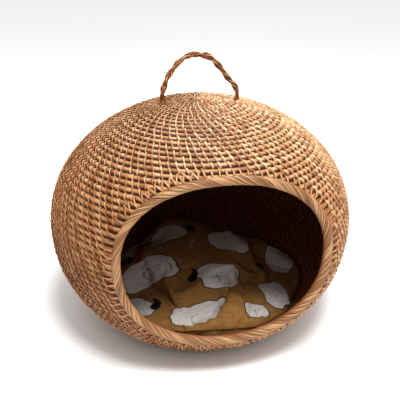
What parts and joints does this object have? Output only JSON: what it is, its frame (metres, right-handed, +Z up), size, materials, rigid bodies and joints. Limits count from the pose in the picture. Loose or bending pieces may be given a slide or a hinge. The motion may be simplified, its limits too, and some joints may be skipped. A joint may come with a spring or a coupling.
{
  "type": "wicker pet bed basket",
  "caption": "Round coiled wicker pet bed with a domed top, an oval side mouth bound by a wrapped rim, a rope carrying handle and a loose tufted cushion.",
  "frame": {"origin": "centre of the flat base button's underside, on the basket's axis, at floor level", "axes": "+Z up along the basket's axis, -Y out through the mouth, +X to the right of someone facing +Y into the mouth, along the handle"},
  "size_m": [0.45, 0.4203, 0.4022],
  "materials": {
    "cane_core": "natural cane, matt",
    "rattan_strip": "split rattan, slight sheen",
    "rim_strip": "split rattan, slight sheen",
    "rope": "twisted rattan rope, matt",
    "cushion_cloth": "printed cotton",
    "filling": "polyester fibre",
    "thread": "waxed thread"
  },
  "bodies": {
    "basket": {"base_button": "cane_core", "base_coil": "cane_core", "belly_coil": "cane_core", "belly_lashings": "rattan_strip", "crown_button": "cane_core", "crown_coil": "cane_core", "crown_lashings": "rattan_strip", "dome_coil": "cane_core", "dome_lashings": "rattan_strip", "handle_tail_left": "rope", "handle_tail_right": "rope", "heel_coil": "cane_core", "heel_lashings": "rattan_strip", "lower_wall_coil": "cane_core", "lower_wall_lashings": "rattan_strip", "middle_wall_coil": "cane_core", "middle_wall_lashings": "rattan_strip", "rim_hoop": "cane_core", "rim_pegs": "rattan_strip", "rim_wrapping": "rim_strip", "shoulder_coil": "cane_core", "shoulder_lashings": "rattan_strip", "upper_wall_coil": "cane_core", "upper_wall_lashings": "rattan_strip"},
    "handle": {"handle_rope": "rope", "handle_whipping_left": "rope", "handle_whipping_right": "rope"},
    "cushion": {"cushion_bottom_filling": "filling", "cushion_bottom_panel": "cushion_cloth", "cushion_ties": "thread", "cushion_top_filling": "filling", "cushion_top_panel": "cushion_cloth"}
  },
  "joints": [
    {"name": "handle_swing", "type": "hinge", "parent": "basket", "child": "handle", "pos_m": [0, 0, 0.338], "axis": [1, 0, 0], "range_deg": [-85, 85]},
    {"name": "cushion_lift", "type": "slide", "parent": "basket", "child": "cushion", "axis": [0, 0, 1], "range_m": [0, 0.12]}
  ]
}
